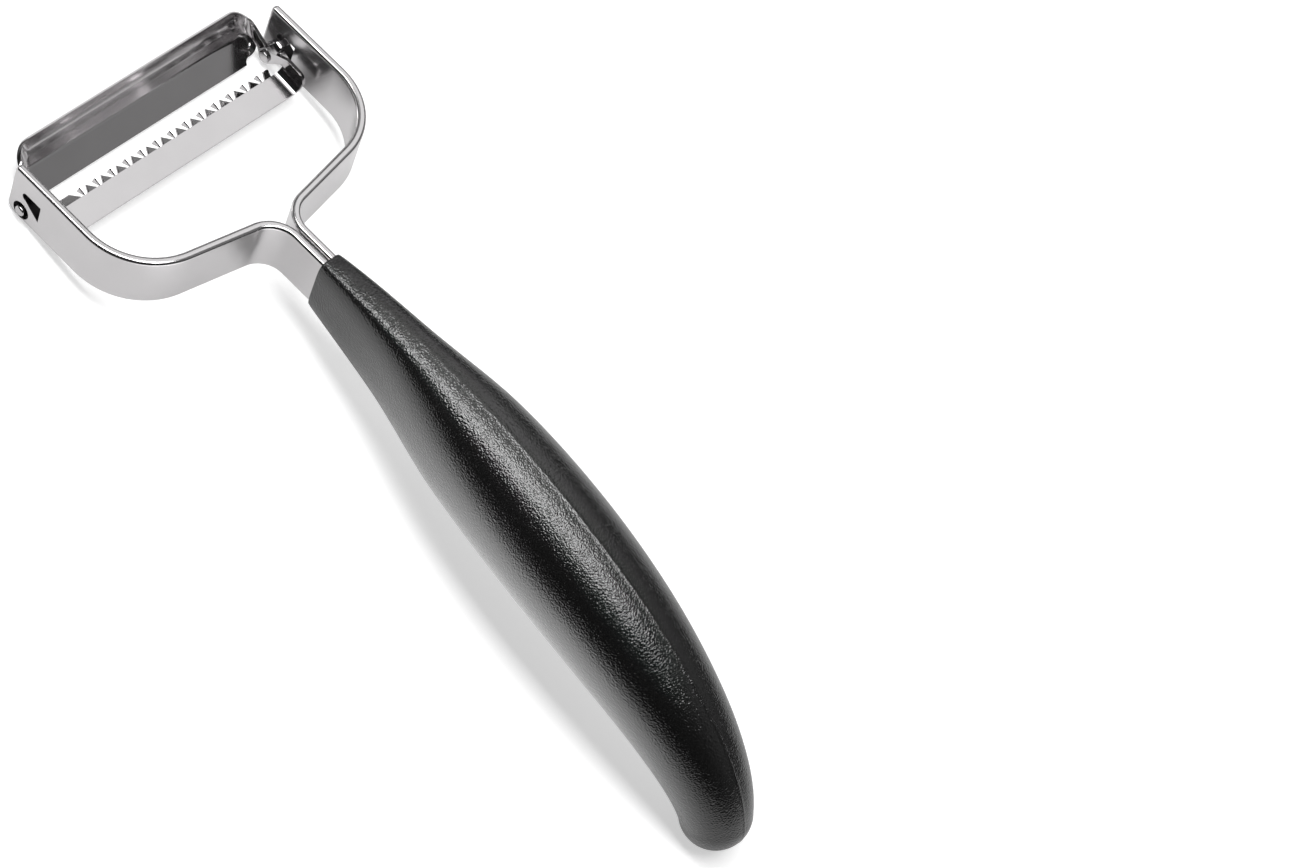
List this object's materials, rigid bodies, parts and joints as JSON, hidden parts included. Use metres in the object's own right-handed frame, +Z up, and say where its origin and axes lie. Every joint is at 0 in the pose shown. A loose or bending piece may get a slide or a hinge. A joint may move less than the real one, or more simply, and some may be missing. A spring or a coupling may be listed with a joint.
{
  "type": "julienne peeler",
  "caption": "Julienne peeler: a Y-shaped bent steel frame in a drooping black handle, with a swivelling stamped blade that has a slicing edge and a row of shredding teeth.",
  "frame": {"origin": "middle of the footprint, on the table that the tail and the arm tips rest on", "axes": "+Y from the tail to the head, +X across the arms to the right seen from above, +Z up"},
  "size_m": [0.0736, 0.1974, 0.0372],
  "materials": {
    "grained_plastic": "fine moulded grain",
    "polished_steel": "tumbled satin",
    "blade_steel": "polished sheet",
    "pin_steel": "turned"
  },
  "bodies": {
    "frame": {"handle": "grained_plastic", "left_arm": "polished_steel", "right_arm": "polished_steel"},
    "blade": {"blade": "blade_steel", "left_pivot_pin": "pin_steel", "right_pivot_pin": "pin_steel"}
  },
  "joints": [
    {"name": "blade_swivel", "type": "hinge", "parent": "frame", "child": "blade", "pos_m": [0, 0.08822, 0.00299], "axis": [1, 0, 0], "range_deg": [-13, 22]}
  ]
}
